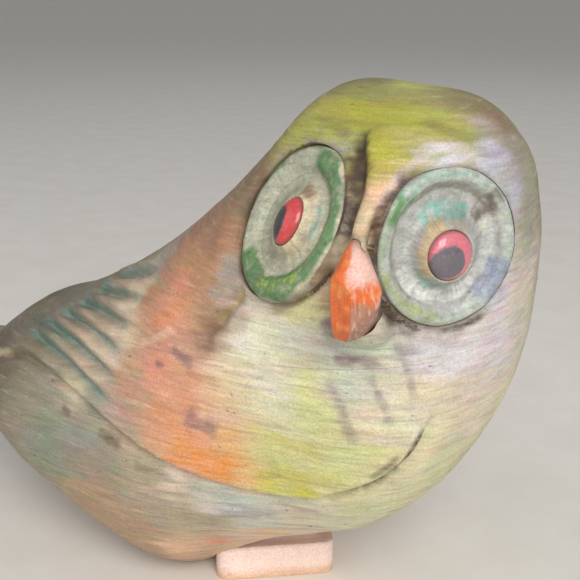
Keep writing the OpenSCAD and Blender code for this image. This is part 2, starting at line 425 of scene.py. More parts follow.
def solid_lathe(name, profile, segments):
    """A closed solid turned from an open outline that starts and ends on the axis."""
    ob = lathe(name, profile, segments)
    bm = bmesh.new()
    bm.from_mesh(ob.data)
    bmesh.ops.remove_doubles(bm, verts=bm.verts, dist=1e-8)
    bmesh.ops.dissolve_degenerate(bm, edges=bm.edges, dist=1e-8)
    bmesh.ops.delete(bm, geom=[e for e in bm.edges if not e.link_faces], context="EDGES")
    bmesh.ops.recalc_face_normals(bm, faces=bm.faces)
    bm.to_mesh(ob.data)
    bm.free()
    return ob


def finer(outline, step):
    """The outline with points added so that none are further apart than step."""
    points = []
    for a, b in zip(outline, outline[1:] + outline[:1]):
        parts = max(1, math.ceil(math.dist(a, b) / step))
        points += [tuple(np.array(a) + (np.array(b) - np.array(a)) * k / parts) for k in range(parts)]
    return points


# ---- Places taken from the CAD


def axis_frame(name, outward):
    """Local frame of a turned CAD node: Z along its axis on the outward side, Y as high as it can be.

    The origin is the middle of the node's mass of surface."""
    bm = node_bmesh(name)
    areas = np.array([f.calc_area() for f in bm.faces])
    centres = np.array([f.calc_center_median() for f in bm.faces])
    bm.free()
    middle = (areas[:, None] * centres).sum(0) / areas.sum()
    spread = (areas[:, None] * (centres - middle)).T @ (centres - middle)
    values, vectors = np.linalg.eigh(spread)
    odd = 0 if values[1] - values[0] > values[2] - values[1] else 2
    z = Vector(vectors[:, odd])
    if z.dot(Vector(outward)) < 0:
        z.negate()
    x = Vector((0, 0, 1)).cross(z).normalized()
    y = z.cross(x)
    place = Matrix((x, y, z)).transposed().to_4x4()
    place.translation = Vector(middle)
    return place


def from_axis(local):
    """Distance of points from the local Z axis."""
    return np.hypot(local[:, 0], local[:, 1])


def local_to(place, co):
    inverse = np.array(place.inverted())
    return co @ inverse[:3, :3].T + inverse[:3, 3]


def node_local(name, place):
    return local_to(place, coordinates(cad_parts[name].data))


COLLAR_RISE = 1.6 * MM
RIGHT_OVAL = (0.965, 1.045)
LEFT_OVAL = (0.97, 0.97)


def disc_place(name, outward, shape):
    """Frame of a slightly oval eye disc in the middle of its face, and the disc's radius and depth."""
    place = axis_frame(name, outward)
    local = node_local(name, place)
    face = local[:, 2].max() - COLLAR_RISE
    place.translation = place @ Vector((0, 0, face))
    radius = from_axis(local).max()
    return place @ Matrix.Diagonal((*shape, 1, 1)), radius, face - local[:, 2].min()


RIGHT_EYE, DISC_R, DISC_T = disc_place("right_eye_disc", (-1, -2, 1), RIGHT_OVAL)
LEFT_EYE, _, _ = disc_place("left_eye_disc", (1, -1, 0), LEFT_OVAL)
SEAM = axis_frame("neck_dowel_front", (0, 0, 1))


# ---- The carved form


def drop(view, u, v, tree):
    """A point in millimetres, dropped on the form from the side named."""
    far = FAR_AWAY
    start, way = {
        "near": ((u * MM, -far, v * MM), (0, 1, 0)),
        "far": ((u * MM, far, v * MM), (0, -1, 0)),
        "top": ((u * MM, v * MM, far), (0, 0, -1)),
        "under": ((u * MM, v * MM, -far), (0, 0, 1)),
        "front": ((far, u * MM, v * MM), (-1, 0, 0)),
    }[view]
    hit = tree.ray_cast(Vector(start), Vector(way))[0]
    if hit is None:
        hit = tree.find_nearest(Vector(start) + Vector(way) * far)[0]
    return np.array(hit)


def curve(points, tree, view="near", parts=6):
    """A smooth path on the form through a few points."""
    p = [np.array(q, float) for q in points]
    p = [2 * p[0] - p[1]] + p + [2 * p[-1] - p[-2]]
    path = []
    for a, b, c, d in zip(p, p[1:], p[2:], p[3:]):
        for k in range(parts):
            t = k / parts
            bend = 2 * a - 5 * b + 4 * c - d + t * (3 * (b - c) + d - a)
            path.append(b + 0.5 * t * (c - a + t * bend))
    path.append(p[-2])
    return np.array([drop(view, x, z, tree) for x, z in path])


def round_eye(place, angles, gaps, tree):
    """A path on the form that winds round an eye disc, between two angles and two gaps off the rim in mm."""
    spots = []
    for share in np.linspace(0, 1, 25):
        turn = math.radians(angles[0] + share * (angles[1] - angles[0]))
        rho = DISC_R + (gaps[0] + share * (gaps[1] - gaps[0])) * MM
        spots.append(place @ Vector((rho * math.cos(turn), rho * math.sin(turn), 0)))
    return np.array([drop("near", spot.x / MM, spot.z / MM, tree) for spot in spots])


def near_path(co, path, reach):
    """Vertices within reach of a path: their indices, distances, offsets, headings and shares along it."""
    low, high = path.min(0) - reach, path.max(0) + reach
    at = np.flatnonzero(((co > low) & (co < high)).all(1))
    p = co[at]
    best = np.full(len(at), np.inf)
    offset, heading, along = np.zeros_like(p), np.zeros_like(p), np.zeros(len(at))
    steps = len(path) - 1
    for i in range(steps):
        ab = path[i + 1] - path[i]
        if ab @ ab < 1e-12:
            continue
        t = np.clip((p - path[i]) @ ab / (ab @ ab), 0, 1)
        off = p - path[i] - t[:, None] * ab
        d = np.linalg.norm(off, axis=1)
        closer = d < best
        best[closer], offset[closer] = d[closer], off[closer]
        heading[closer], along[closer] = ab / np.linalg.norm(ab), (i + t[closer]) / steps
    keep = best < reach
    return at[keep], best[keep], offset[keep], heading[keep], along[keep]


def both_flanks(points, tree):
    return [(curve(points, tree, "near"), 1), (curve(points, tree, "far"), -1)]


def ends(along, first=0.12, last=0.12):
    """Fades a line in and out at its two ends."""
    return smoothstep(0, first, along) * smoothstep(0, last, 1 - along)


def groove(co, path, width, depth):
    """Inward move for a rounded groove along a path."""
    move = np.zeros(len(co))
    at, d, _, _, along = near_path(co, path, 3 * width)
    move[at] = -depth * np.exp(-((d / width) ** 2)) * ends(along)
    return move


def step_up(co, no, path, flank, rise, lip, fall):
    """Outward move above a line, steep at the line and fading away over fall, with a cut under the line."""
    move = np.zeros(len(co))
    at, _, off, head, along = near_path(co, path, 4 * fall)
    side = flank * np.einsum("ij,ij->i", off, np.cross(no[at], head))
    above = smoothstep(-lip, lip, side) * np.exp(-np.maximum(side, 0) / fall)
    under = np.exp(-(((side + 1.3 * lip) / (1.2 * lip)) ** 2))
    move[at] = (rise * above - 0.45 * rise * under) * ends(along, 0.1, 0.06)
    return move


def shingle(co, no, path, flank, width, depth):
    """Cut along a feather's edge, with a soft ridge on its upper side."""
    move = np.zeros(len(co))
    at, _, off, head, along = near_path(co, path, 4 * width)
    side = flank * np.einsum("ij,ij->i", off, np.cross(no[at], head)) / width
    cut = -depth * np.exp(-(side**2)) + 0.55 * depth * np.exp(-(((side - 1.7) / 1.2) ** 2))
    move[at] = cut * ends(along, 0.2, 0.3)
    return move


def tail_lines():
    """Lines between the tail feathers, on top and underneath, as (view, points in x and y)."""
    spread = [-7, 0, 7]
    lines = [[(-70, 0.75 * y), (-90, 0.9 * y), (-117, 1.1 * y)] for y in spread]
    return [(view, line) for view in ("top", "under") for line in lines]


def raw_form():
    """The whole outer form as one even, smoothed mesh, with the pockets of the discs and beak filled."""
    overlap = -3 * GLUE * np.array(SEAM.col[2][:3])
    names = ["body_block", "right_eye_disc", "left_eye_disc", "beak"]
    form = joined("form", [node_copy("head_block", overlap)] + [node_copy(n) for n in names])
    remesh(form, VOXEL)
    co = coordinates(form.data)
    low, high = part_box("foot_block")
    foot = np.linalg.norm(co[:, :2] - (np.array(low + high) / 2)[:2], axis=1)
    share = np.where(co[:, 2] < 10 * MM, smoothstep(16 * MM, 20 * MM, foot), 1.0)
    for place in (RIGHT_EYE, LEFT_EYE):
        local = local_to(place, co)
        rho = from_axis(local)
        disc = (rho < DISC_R + 0.4 * MM) & (np.abs(local[:, 2]) < DISC_T)
        share = np.where(disc, 0.15, share)
    smooth(form.data, SMOOTHING_PASSES, share)
    return form


SEAT = 6 * MM
FLUSH = -0.2 * MM


def seat(co, place):
    """Presses the wood round a disc down flush with its face, and lifts it where the disc would be bare."""
    local = local_to(place, co)
    rho = from_axis(local)
    h = local[:, 2]
    ring = (rho > DISC_R - 0.2 * MM) & (rho < DISC_R + SEAT) & (np.abs(h) < 12 * MM)
    share = smoothstep(0, SEAT, rho - DISC_R)
    pressed = FLUSH + (h - FLUSH) * share
    h_new = np.where(ring & (h > FLUSH), pressed, h)
    floor = -DISC_T + 0.6 * MM
    near = ring & (h_new < floor) & (rho < DISC_R + 3 * MM) & (h_new > floor - 5 * MM)
    lift = 1 - smoothstep(0, 3 * MM, rho - DISC_R)
    h_new = np.where(near, h_new + (floor - h_new) * lift, h_new)
    return co + (h_new - h)[:, None] * np.array(place.col[2][:3])


def carve(form):
    """Gouge work: seats of the discs, wing, feather and tail lines, grooves, glue line and facets.

    Gives the carved surface as a tree, on which the paint is laid."""
    mesh = form.data
    co = seat(seat(coordinates(mesh), RIGHT_EYE), LEFT_EYE)
    set_coordinates(mesh, co)
    for spot, reach in SANDED:
        away = np.linalg.norm(co - np.array(spot) * MM, axis=1) / (reach * MM)
        smooth(mesh, SANDING_PASSES, np.exp(-(away**4)), SANDING_SHARE)
    co = coordinates(mesh)
    tree = BVHTree.FromObject(form, bpy.context.evaluated_depsgraph_get())
    no = normals(mesh)
    move = np.zeros(len(co))
    for path, flank in both_flanks(WING_EDGE, tree):
        move += step_up(co, no, path, flank, STEP_RISE * MM, STEP_LIP * MM, STEP_FALL * MM)
    for line in FEATHERS:
        for path, flank in both_flanks(line, tree):
            move += shingle(co, no, path, flank, FEATHER_WIDTH * MM, FEATHER_DEPTH * MM)
    for view, line in tail_lines():
        move += groove(co, curve(line, tree, view), TAIL_WIDTH * MM, TAIL_DEPTH * MM)
    for eye, angles, gaps, width, depth in EYE_GROOVES:
        move += groove(co, round_eye(eye, angles, gaps, tree), width * MM, depth * MM)
    points, width, depth = BOWL_GROOVE
    for path, _ in both_flanks(points, tree):
        move += groove(co, path, width * MM, depth * MM)
    seam = local_to(SEAM, co)[:, 2]
    cut = np.exp(-((seam / (SEAM_WIDTH * MM)) ** 2)) * smoothstep(0.1, 0.5, noise(co, 14 * MM, 3))
    move -= SEAM_DEPTH * MM * cut
    rest = np.ones(len(co))
    for place in (RIGHT_EYE, LEFT_EYE):
        local = local_to(place, co)
        rest *= np.where(from_axis(local) < DISC_R + MM, np.abs(local[:, 2]) > 9 * MM, 1)
    facets = FACET_DEPTH * MM * noise(co * (0.6, 1, 1), 7 * MM, 11)
    ripples = RIPPLE_DEPTH * MM * noise(co * (0.3, 0.5, 1.6), 2 * MM, 12)
    move = (move + (facets + ripples)) * rest
    co = co + move[:, None] * no
    co[:, 2] = np.maximum(co[:, 2], 0)
    set_coordinates(mesh, co)
    return BVHTree.FromObject(form, bpy.context.evaluated_depsgraph_get())


# Cuts and strokes that wind round an eye disc: the eye, degrees and gaps off the rim in mm at their two ends,
# and then width and depth of a cut, or half width, strength and paint of a stroke
EYE_GROOVES = [
    (RIGHT_EYE, (70, -6), (3.2, 1.8), 1.7, 1.9),
    (RIGHT_EYE, (-108, -115), (0, 15), 1.4, 0.9),
    (RIGHT_EYE, (-105, -50), (0.5, 3.0), 1.6, 0.5),
    (LEFT_EYE, (114, 200), (1.2, 0.8), 1.2, 1.4),
    (LEFT_EYE, (200, 252), (0.6, 0.2), 1.8, 2.2),
]
BOWL_GROOVE = bowl(20, 84), 1.0, 1.5
# The brown, umber and dark brown strokes lie in the cuts and hollows round the discs, in the crease and under
# the right disc: partly brown paint, partly painted shade.
EYE_STROKES = [
    (RIGHT_EYE, (-100, -115), (2, 18), 2.6, 0.5, BROWN),
    (RIGHT_EYE, (-106, -114), (0, 10), 0.7, 0.9, OCHRE),
    (RIGHT_EYE, (-80, -45), (1.5, 2.5), 1.8, 0.6, BROWN),
    (LEFT_EYE, (114, 160), (3.4, 3.0), 0.9, 0.85, SHELL),
    (RIGHT_EYE, (62, -12), (2.8, 1.4), 2.2, 1.05, DARK_BROWN),
    (LEFT_EYE, (118, 215), (0.8, 0.4), 1.7, 1.05, DARK_BROWN),
    (RIGHT_EYE, (-30, -12), (1.5, 3.0), 2.0, 0.6, BROWN),
    (LEFT_EYE, (210, 255), (0.8, 0.4), 2.0, 0.7, UMBER),
    (LEFT_EYE, (243, 310), (0.4, 1.0), 0.7, 0.9, DARK_BROWN),
    (LEFT_EYE, (235, 290), (1.6, 2.0), 1.3, 0.45, TAUPE),
]


# ---- Paint on the form


def patch_points(tree):
    """Every patch as (point on the form, size, linear colour)."""
    for view, patches in PATCHES.items():
        for u, v, size, paint in patches:
            for side in ("near", "far") if view == "sides" else (view,):
                yield drop(side, u, v, tree), size * MM, linear(paint)


def under_paint(co, tree):
    """The soft blend of all the patches."""
    warp = np.stack([rough_noise(co, 7 * MM, seed) for seed in (21, 31, 41)], 1)
    brushed = np.stack([noise(co * (0.12, 0.12, 1), 1.0 * MM, seed) for seed in (22, 32, 42)], 1)
    p = co + 1.5 * MM * warp + 2.4 * MM * brushed
    total, colour = np.zeros(len(co)), np.zeros((len(co), 3))
    for point, size, paint in patch_points(tree):
        w = 1 / (0.04 + (np.linalg.norm(p - point, axis=1) / size) ** 3.4)
        total += w
        colour += w[:, None] * paint
    return colour / total[:, None] * (1 + 0.07 * warp + 0.07 * brushed)


def over(colour, mask, paint):
    """Paint laid over a colour where mask is 1."""
    mask = np.clip(mask, 0, 1)[:, None]
    return colour * (1 - mask) + linear(paint) * mask


def stroke_mask(co, path, width, ragged=0.5):
    """A brush stroke along a path, broken up at its edges."""
    mask = np.zeros(len(co))
    at, d, _, _, along = near_path(co, path, 3 * width)
    wobble = 1 + ragged * rough_noise(co[at], 2.2 * MM, 51)
    dry = 0.75 + 0.35 * noise(co[at] * (0.5, 0.5, 1), 0.7 * MM, 53)
    mask[at] = dry * (1 - smoothstep(0.35, 1.4, d / (width * wobble))) * ends(along, 0.15, 0.25)
    return mask


def paint_form(ob, tree):
    """Paint of a block of the form, and its dark antiquing and painted shade, kept at its vertices."""
    mesh = ob.data
    co = coordinates(mesh)
    colour = under_paint(co, tree)
    antiquing_and_shade = np.zeros(len(co))
    for line in FEATHERS:
        for path, _ in both_flanks(line, tree):
            colour = over(colour, 0.8 * stroke_mask(co, path, 1.3 * MM, 0.35), TEAL)
            # Dark antiquing and painted shade down the middle of each feather cut.
            antiquing_and_shade += 0.25 * stroke_mask(co, path, 0.5 * MM)
    # Painted shadow a little under each wing's edge.
    for path, _ in both_flanks(WING_EDGE, tree):
        antiquing_and_shade += 0.35 * stroke_mask(co, path - (0, 0, 1.2 * MM), 0.9 * MM)
    for side, points, width, strength, paint in STROKES:
        for path, _ in both_flanks(points, tree)[:1 if side == "near" else 2]:
            colour = over(colour, strength * stroke_mask(co, path, width * MM), paint)
    for eye, angles, gaps, width, strength, paint in EYE_STROKES:
        path = round_eye(eye, angles, gaps, tree)
        colour = over(colour, strength * stroke_mask(co, path, width * MM), paint)
    # Dark antiquing and painted shade in the cuts round the discs.
    for eye, angles, gaps, width, depth in EYE_GROOVES:
        path = round_eye(eye, angles, gaps, tree)
        antiquing_and_shade += min(1, 0.5 * depth) * stroke_mask(co, path, 1.5 * width * MM)
    # Dark antiquing and painted shade in the cuts between the tail feathers.
    for view, line in tail_lines():
        antiquing_and_shade += 0.5 * stroke_mask(co, curve(line, tree, view), 1.2 * MM)
    # Darker in a ring where the wood meets each disc: partly a dark joint, partly painted shade.
    for place in (RIGHT_EYE, LEFT_EYE):
        local = local_to(place, co)
        gap = from_axis(local) - DISC_R
        rim_joint_and_shade = 0.45 + 0.35 * rough_noise(co, 6 * MM, 61)
        antiquing_and_shade += rim_joint_and_shade * (1 - smoothstep(0, 0.8 * MM, gap)) * (np.abs(local[:, 2]) < 10 * MM)
    store(mesh, "paint", colour)
    store_antiquing_and_shade(mesh, antiquing_and_shade)


def store_antiquing_and_shade(mesh, antiquing_and_shade):
    """Keeps how much dark antiquing and painted shade each vertex has, from 0 to 1."""
    store(mesh, "antiquing_and_shade", np.repeat(np.clip(antiquing_and_shade, 0, 1)[:, None], 3, 1))


def coat_of(paint, points):
    """One paint, repeated for every point."""
    return np.repeat(linear(paint)[None], len(points), 0)


def store(mesh, name, values):
    """Keeps a colour at each vertex, where the materials read it."""
    attribute = mesh.attributes.new(name, "FLOAT_COLOR", "POINT")
    rgba = np.concatenate([values, np.ones((len(values), 1))], 1)
    attribute.data.foreach_set("color", rgba.astype(np.float32).ravel())


# ---- Materials


class Graph:
    """Adds nodes to a material and links them."""

    def __init__(self, name):
        self.material = bpy.data.materials.new(name)
        self.material.use_nodes = True
        self.tree = self.material.node_tree
        self.shader = self.tree.nodes["Principled BSDF"]

    def add(self, kind, inputs=None, **settings):
        node = self.tree.nodes.new("ShaderNode" + kind)
        for key, value in settings.items():
            setattr(node, key, value)
        for key, value in (inputs or {}).items():
            self.put(node.inputs[key], value)
        return node

    def put(self, socket, value):
        if isinstance(value, bpy.types.NodeSocket):
            self.tree.links.new(value, socket)
        else:
            socket.default_value = value

    def attribute(self, name):
        return self.add("Attribute", attribute_name=name).outputs["Color"]

    def noise(self, scale, detail=3.0, stretch=(1, 1, 1), roughness=0.55, distortion=0.0):
        """Noise with hills about 1 / scale metres across, drawn out along an axis by its stretch."""
        where = self.add("TexCoord").outputs["Object"]
        mapping = self.add("Mapping", {"Vector": where, "Scale": tuple(scale / s for s in stretch)})
        made = self.add("TexNoise", {
            "Vector": mapping.outputs[0], "Scale": 1.0, "Detail": detail, "Roughness": roughness,
            "Distortion": distortion,
        })
        return made.outputs["Fac"]

    def between(self, value, low, high, to_low=0.0, to_high=1.0):
        return self.add("MapRange", {
            "Value": value, "From Min": low, "From Max": high, "To Min": to_low, "To Max": to_high,
        }).outputs["Result"]

    def math(self, operation, a, b):
        return self.add("Math", {0: a, 1: b}, operation=operation).outputs[0]

    def times(self, a, b):
        return self.math("MULTIPLY", a, b)

    def mix(self, factor, a, b, blend="MIX"):
        node = self.add("Mix", data_type="RGBA", blend_type=blend)
        self.put(node.inputs[0], factor)
        self.put(node.inputs[6], a if isinstance(a, bpy.types.NodeSocket) else (*linear(a), 1))
        self.put(node.inputs[7], b if isinstance(b, bpy.types.NodeSocket) else (*linear(b), 1))
        return node.outputs[2]

    def grey(self, value):
        return self.add("CombineColor", {0: value, 1: value, 2: value}).outputs[0]

    def bump(self, height, distance, strength=1.0):
        return self.add("Bump", {"Height": height, "Distance": distance, "Strength": strength}).outputs[0]

    def finish(self, colour, roughness, normal, coat=0.0):
        self.put(self.shader.inputs["Base Color"], colour)
        self.put(self.shader.inputs["Roughness"], roughness)
        self.put(self.shader.inputs["Normal"], normal)
        self.shader.inputs["Coat Weight"].default_value = coat
        self.shader.inputs["Coat Roughness"].default_value = 0.12
        return self.material


def worn_paint(name, stretch=(9, 9, 1), wear=1.0, coat=0.0):
    """Thin paint rubbed back over a brushed ground, with dark antiquing and painted shade from the vertices,
    in the low places, under edges and at joints.
    """
    g = Graph(name)
    paint, antiquing_and_shade = g.attribute("paint"), g.attribute("antiquing_and_shade")
    lines = g.noise(1500, 4, stretch, 0.65, 0.3)
    strands = g.noise(650, 3, tuple(0.8 * s for s in stretch), 0.6, 0.4)
    speckle = g.noise(2400, 2)
    blotch = g.noise(150, 5, (1.6, 1.6, 1), 0.6)
    tone = g.between(lines, 0.25, 0.75, 1 - 0.2 * wear, 1 + 0.2 * wear)
    colour = g.mix(1.0, paint, g.grey(tone), "MULTIPLY")
    light = g.times(g.between(lines, 0.6, 0.8), 0.3 * wear)
    colour = g.mix(light, colour, (238, 234, 222))
    dark = g.times(g.between(strands, 0.48, 0.28), 0.35 * wear)
    colour = g.mix(dark, colour, (112, 96, 82))
    smudge = g.times(g.between(blotch, 0.55, 0.75), 0.3 * wear)
    colour = g.mix(smudge, colour, (140, 122, 112))
    # Dark antiquing and painted shade from the vertices, mixed in as dark brown.
    antiquing_and_shade_mix = g.times(antiquing_and_shade, g.between(speckle, 0.25, 0.6, 0.75, 1.0))
    colour = g.mix(antiquing_and_shade_mix, colour, DARK_BROWN)
    grain = g.between(speckle, 0.3, 0.7, 0.86, 1.12)
    colour = g.mix(1.0, colour, g.grey(grain), "MULTIPLY")
    flecks = g.times(g.between(g.noise(900, 1, (1.5, 1.5, 1)), 0.74, 0.79), 0.6 * wear)
    colour = g.mix(flecks, colour, (84, 66, 60))
    rough = g.between(g.noise(400, 3), 0.3, 0.7, 0.36, 0.58)
    height = g.math("ADD", g.times(lines, 0.6), g.times(speckle, 0.4))
    return g.finish(colour, rough, g.bump(height, 0.25 * MM, 0.8), coat)


def bare_wood(name):
    """Turned beech of the hidden dowels."""
    g = Graph(name)
    rings = g.noise(700, 5, (1, 1, 12), 0.6, 0.5)
    pores = g.noise(2600, 2, (1, 1, 6))
    colour = g.mix(g.between(rings, 0.35, 0.65), (214, 178, 132), (176, 134, 92))
    colour = g.mix(g.between(pores, 0.6, 0.7, 0, 0.5), colour, (120, 84, 56))
    return g.finish(colour, g.between(rings, 0.3, 0.7, 0.5, 0.7), g.bump(rings, 0.1 * MM))


# ---- Pieces


def shade(ob, angle=40):
    ob.data.shade_smooth()
    ob.data.set_sharp_from_angle(angle=math.radians(angle))


def finish_piece(ob, node, slot, material):
    ob.data.materials.clear()
    ob.data.materials.append(material)
    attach(ob, "root")
    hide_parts(node)


def grown(ob, gap, shift=(0, 0, 0)):
    """A copy of a piece grown by a gap, to cut its pocket."""
    mesh = ob.data.copy()
    strip(mesh)
    copy = new_object("cutter", mesh)
    set_coordinates(mesh, coordinates(mesh) + gap * normals(mesh) + np.array(shift))
    return copy


def half_space(above):
    """A big block on one side of the glue line."""
    size = 0.3
    middle = (size + GLUE) / 2 if above else -(size + GLUE) / 2
    bm = bmesh.new()
    bmesh.ops.create_cube(bm, size=size)
    bmesh.ops.translate(bm, verts=bm.verts, vec=(0, 0, middle))
    bmesh.ops.transform(bm, matrix=SEAM, verts=bm.verts)
    return from_bmesh("half", bm)


def socket_cutter(place):
    """Cutter for the socket of an eye disc, with the bevel of the disc's back."""
    r, back, bevel, reach = DISC_R + GLUE, -DISC_T - GLUE, 1.5 * MM, 12 * MM
    outline = [(0, back), (r - bevel, back), (r, back + bevel), (r, reach), (0, reach)]
    ob = solid_lathe("socket", outline, 128)
    ob.data.transform(place)
    return ob


def bore(name):
    """Cutter for a dowel's hole."""
    ob = node_copy(name)
    set_coordinates(ob.data, coordinates(ob.data) + GLUE * normals(ob.data))
    return ob


def disc_outline(rim, dish, edge):
    """Outline of an eye disc: back, side, rounded rim, dish, collar, recess and peg hole."""
    r, t = DISC_R / MM, DISC_T / MM
    inner = r - rim
    points = [
        (1.25, -t), (r - 1.5, -t), (r, -t + 1.5), (r, -1.5 * edge), (r - 0.12 * edge, -0.95 * edge),
        (r - 0.45 * edge, -0.45 * edge), (r - 0.95 * edge, -0.12 * edge),
        (r - 0.45 * rim, 0.05), (inner + 0.2 * rim, -0.12), (inner, -0.35 * dish), (inner - 0.5, -0.7 * dish),
        (inner - 1.1, -0.95 * dish), (8.6, -dish), (7.7, -0.85 * dish), (7.1, -0.5 * dish), (6.5, 0.2),
        (6.0, 0.75 * COLLAR_RISE / MM), (5.75, COLLAR_RISE / MM), (5.35, COLLAR_RISE / MM - 0.1),
        (5.15, -1.5), (1.25, -1.5),
    ]
    return [(x * MM, h * MM) for x, h in points]


def polar(local):
    """Radius in millimetres and angle in degrees from 0 to 360 of points in a disc's frame."""
    return from_axis(local) / MM, np.degrees(np.arctan2(local[:, 1], local[:, 0])) % 360


def spokes(a):
    """Unit vectors in a disc's plane at angles in degrees."""
    return np.stack([np.cos(np.radians(a)), np.sin(np.radians(a)), 0 * a], 1)


def arc_mask(r, a, arc, wobble):
    """Where an arc of paint lies: radii in millimetres and start and end angles, its edges soft."""
    inner, outer, start, end = arc
    span = (end - start) % 360 or 360
    into = (a - start) % 360
    soft = 0.35
    radial = smoothstep(-soft, soft, r + wobble - inner) * smoothstep(-soft, soft, outer - r - wobble)
    if span == 360:
        return radial
    return radial * smoothstep(0, 9, into) * smoothstep(0, 9, span - into)


def paint_arcs(ob, local, ground, arcs, seed):
    """Paints a disc: ground, then arcs of (paint, radii and angles, strength, how broken)."""
    r, a = polar(local)
    wobble = 0.5 * rough_noise(local, 3 * MM, seed)
    colour = coat_of(ground, local)
    round_angle = 13 * MM * spokes(a)
    hatch = noise(round_angle + (0, 0, 1) * (0.1 * r * MM)[:, None], 0.5 * MM, seed + 5)
    sweep = noise(0.2 * round_angle + (0, 0, 1) * (r * MM)[:, None], 0.45 * MM, seed + 6)
    for paint, arc, strength, broken in arcs:
        mask = strength * arc_mask(r, a, arc, wobble)
        brushed = rough_noise(local, 2.2 * MM, seed + 9) + 0.5 * hatch + 0.7 * sweep + 1.1 - 2.2 * broken
        colour = over(colour, mask * smoothstep(-0.9, 0.9, brushed), paint)
    colour *= (1 + 0.16 * hatch + 0.12 * sweep)[:, None]
    store(ob.data, "paint", np.clip(colour, 0, 1))


def disc_antiquing_and_shade(local):
    """Dark antiquing and painted shade in the low rings of a disc, round the bead and at the collar's foot,
    and painted shade on its side below the face.
    """
    r, _ = polar(local)
    low = 0.55 * np.exp(-(((r - 5.15) / 0.35) ** 2)) + 0.3 * np.exp(-(((r - 6.7) / 0.5) ** 2))
    side = smoothstep(0.4, 2.5, -local[:, 2] / MM) * smoothstep(9, 12, r)
    return np.clip(low + 0.45 * side, 0, 1)


def oval(local, shape, shift):
    """Draws the middle of an eye in to its oval and moves it off the middle of its disc."""
    share = 1 - smoothstep(5.4, 8.2, from_axis(local) / MM)
    for axis in (0, 1):
        local[:, axis] *= 1 + (shape[axis] - 1) * share
        local[:, axis] += shift[axis] * MM * share
    return local


def eye_disc(eye):
    """Turned disc with an uneven face and edge, its middle drawn in to its oval, painted in arcs."""
    node, slot, seed = eye["side"] + "_eye_disc", eye["side"] + "_disc_paint", eye["seed"]
    ob = lathe(node + "_carved", finer(disc_outline(*eye["outline"]), 0.32 * MM), 300)
    local = coordinates(ob.data)
    r, a = polar(local)
    face = smoothstep(-1.2, -0.4, local[:, 2] / MM) * smoothstep(5.6, 6.6, r)
    uneven = 0.16 * MM * rough_noise(local, 4 * MM, seed) + 0.05 * MM * noise(local, 0.9 * MM, seed + 1)
    local[:, 2] += face * uneven
    turn = spokes(a)
    edge = 0.14 * MM * noise(turn * 10 * MM, 4 * MM, seed + 2) * smoothstep(11, 13, r)
    local += np.minimum(edge, GLUE)[:, None] * turn
    paint_arcs(ob, local, eye["ground"], eye["arcs"], seed)
    store_antiquing_and_shade(ob.data, disc_antiquing_and_shade(local))
    set_coordinates(ob.data, oval(local, *eye["middle"]))
    ob.data.transform(eye["place"])
    shade(ob, 50)
    finish_piece(ob, node, slot, worn_paint(slot, (2.5, 2.5, 1.2), 0.95))


# Arcs of paint on the discs: paint, inner and outer radius in mm and start and end angle, strength and wear
RIGHT_ARCS = [
    ((172, 176, 156), (7, 12.6, 80, 205), 0.7, 0.3),
    ((150, 146, 124), (8.6, 11, 300, 80), 0.6, 0.3),
    ((88, 134, 86), (9.3, 12.9, 325, 92), 0.95, 0.08),
    ((84, 128, 76), (9.4, 13.4, 215, 335), 0.95, 0.08),
    ((126, 160, 108), (10.6, 11.8, 330, 85), 0.6, 0.35),
    ((168, 188, 88), (10.4, 12.2, 258, 325), 0.7, 0.5),
    ((104, 136, 98), (11.9, 13.6, 125, 230), 0.9, 0.2),
    ((124, 132, 100), (12.6, 14.2, 82, 130), 0.8, 0.2),
    ((204, 196, 168), (12.9, 14.6, 306, 62), 0.9, 0.1),
    ((222, 208, 176), (4.0, 7.3, 290, 95), 0.9, 0.05),
    ((192, 188, 164), (4.0, 7.0, 95, 290), 0.7, 0.05),
    ((148, 116, 94), (5.9, 7.2, 55, 100), 0.8, 0.3),
    ((84, 156, 150), (6.6, 7.3, 340, 42), 0.9, 0.1),
]
LEFT_ARCS = [
    ((178, 190, 178), (11.2, 14.2, 0, 0), 0.85, 0.15),
    # The next two arcs are a darker ring on the dish's upper left and a pale one on its lower part: partly
    # paint, partly painted shade and painted highlight. The third is a dark line in the groove inside the
    # rim: painted shade.
    ((150, 156, 142), (7.5, 10.4, 60, 200), 0.6, 0.4),
    ((222, 222, 218), (7, 10, 205, 330), 0.7, 0.4),
    ((112, 108, 96), (10.1, 10.7, 0, 0), 0.6, 0.35),
    ((150, 162, 134), (11.6, 14.2, 130, 275), 0.7, 0.3),
    ((140, 182, 166), (12.0, 13.4, 70, 140), 0.7, 0.3),
    ((84, 136, 78), (10.9, 13.0, 122, 160), 0.9, 0.15),
    ((166, 172, 104), (11.0, 13.0, 190, 262), 0.7, 0.4),
    ((138, 128, 116), (10.6, 11.3, 48, 125), 0.6, 0.3),
    ((104, 178, 166), (5.9, 8.2, 50, 138), 0.85, 0.5),
    ((140, 196, 180), (5.2, 7.4, 212, 280), 0.85, 0.4),
    ((104, 94, 82), (7.6, 12.6, 26, 54), 0.9, 0.35),
    ((214, 204, 178), (8.0, 12.2, 14, 30), 0.8, 0.5),
    ((96, 124, 106), (5.8, 7.5, 345, 17), 0.8, 0.5),
    ((132, 142, 168), (9.4, 13.2, 300, 350), 0.85, 0.2),
    ((208, 184, 144), (4.9, 6.4, 95, 230), 0.95, 0.1),
    ((178, 158, 130), (4.9, 6.3, 230, 95), 0.7, 0.3),
]
